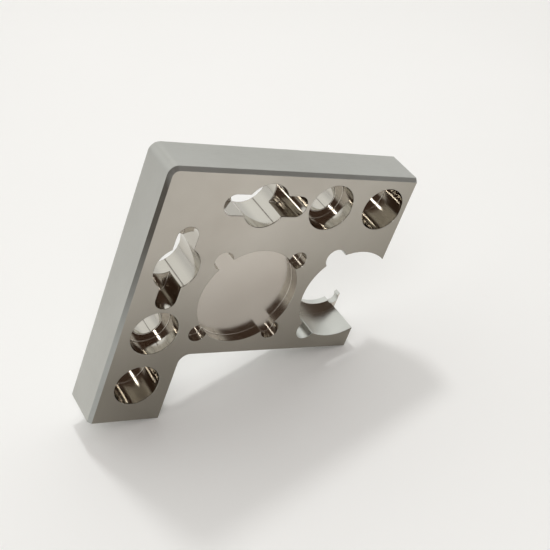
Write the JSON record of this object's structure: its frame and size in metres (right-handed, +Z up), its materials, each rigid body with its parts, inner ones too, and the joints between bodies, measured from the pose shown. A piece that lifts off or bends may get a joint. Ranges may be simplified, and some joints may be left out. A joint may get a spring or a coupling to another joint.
{
  "type": "t slot corner bracket",
  "caption": "Flat L-shaped corner bracket milled from plate, with a row of slots and screw holes along each arm, a shallow round pocket and a round cut in one edge.",
  "frame": {"origin": "on the ground under the middle of the standing plate, halfway through its thickness", "axes": "+Z up, +X along the ground in the plate's plane, +Y through the thickness towards the plain back face, so the front face looks along -Y"},
  "size_m": [0.0816, 0.01, 0.0655],
  "materials": {
    "plate": "fine satin from milling, polished bore walls"
  },
  "bodies": {
    "root": {"plate": "plate"}
  },
  "joints": []
}
